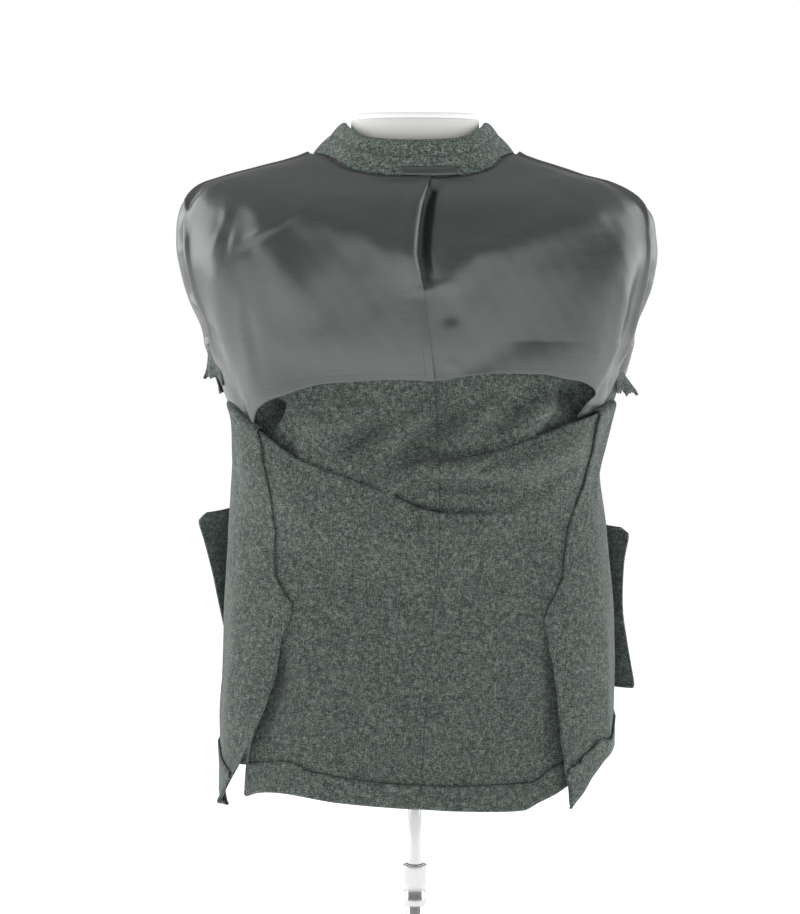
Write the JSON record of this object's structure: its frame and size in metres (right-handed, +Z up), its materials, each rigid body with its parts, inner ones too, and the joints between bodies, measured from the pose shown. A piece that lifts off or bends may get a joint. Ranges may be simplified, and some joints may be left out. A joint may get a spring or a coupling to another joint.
{
  "type": "sport coat worn inside out on a limbless dress form with its stand",
  "caption": "Sport coat turned inside out, half lined, with centre pleat, waist folds, vents and loose pocket bags, buttoned on a limbless dress form on a round-based stand.",
  "frame": {"origin": "centre of the base plate's flat underside, on the mast's axis, on the floor", "axes": "+Z up along the mast; the coat's back faces -Y, its fronts face +Y; +X is towards the coat's right side"},
  "size_m": [0.5079, 0.3009, 1.0663],
  "materials": {
    "wool_flannel": "heathered charcoal grey-green wool flannel, brushed, matt",
    "wool_collar": "the same flannel, a shade lighter, pressed round the collar",
    "pocket_wool": "darker self cloth, loose and matt",
    "satin_lining": "charcoal viscose satin with a soft directional sheen",
    "horn_button": "dark horn-look button, softly polished",
    "form_jersey": "white jersey stretched smooth over the form",
    "neck_cap": "white moulded cap, satin",
    "chrome": "polished chrome plate",
    "base_steel": "brushed steel disc"
  },
  "bodies": {
    "stand": {"base_plate": "base_steel", "base_socket": "chrome", "outer_tube": "chrome", "clamp_collar": "chrome", "clamp_screw": "chrome"},
    "form_and_coat": {"back_left": "wool_flannel", "back_right": "wool_flannel", "back_turn_up_left": "wool_flannel", "back_turn_up_right": "wool_flannel", "side_panel_left": "wool_flannel", "side_panel_right": "wool_flannel", "side_turn_up_left": "wool_flannel", "side_turn_up_right": "wool_flannel", "underarm_tab_left": "wool_flannel", "underarm_tab_right": "wool_flannel", "front_left": "wool_flannel", "front_right": "wool_flannel", "front_turn_up_left": "wool_flannel", "front_turn_up_right": "wool_flannel", "front_facing_left": "wool_flannel", "front_facing_right": "wool_flannel", "lapel_left": "wool_flannel", "lapel_right": "wool_flannel", "sleeve_left": "wool_flannel", "sleeve_right": "wool_flannel", "collar_stand": "wool_collar", "collar": "wool_collar", "pocket_bag_left": "pocket_wool", "pocket_bag_right": "pocket_wool", "hanger_loop": "satin_lining", "back_lining_left": "satin_lining", "back_lining_right": "satin_lining", "front_lining_left": "satin_lining", "front_lining_right": "satin_lining", "sleeve_lining_left": "satin_lining", "sleeve_lining_right": "satin_lining", "button_1": "horn_button", "button_2": "horn_button", "mast": "chrome", "form_flange": "chrome", "form_torso": "form_jersey", "neck_cap": "neck_cap"}
  },
  "joints": [
    {"name": "height_slide", "type": "slide", "parent": "stand", "child": "form_and_coat", "axis": [0, 0, 1], "range_m": [-0.1, 0.06]}
  ]
}
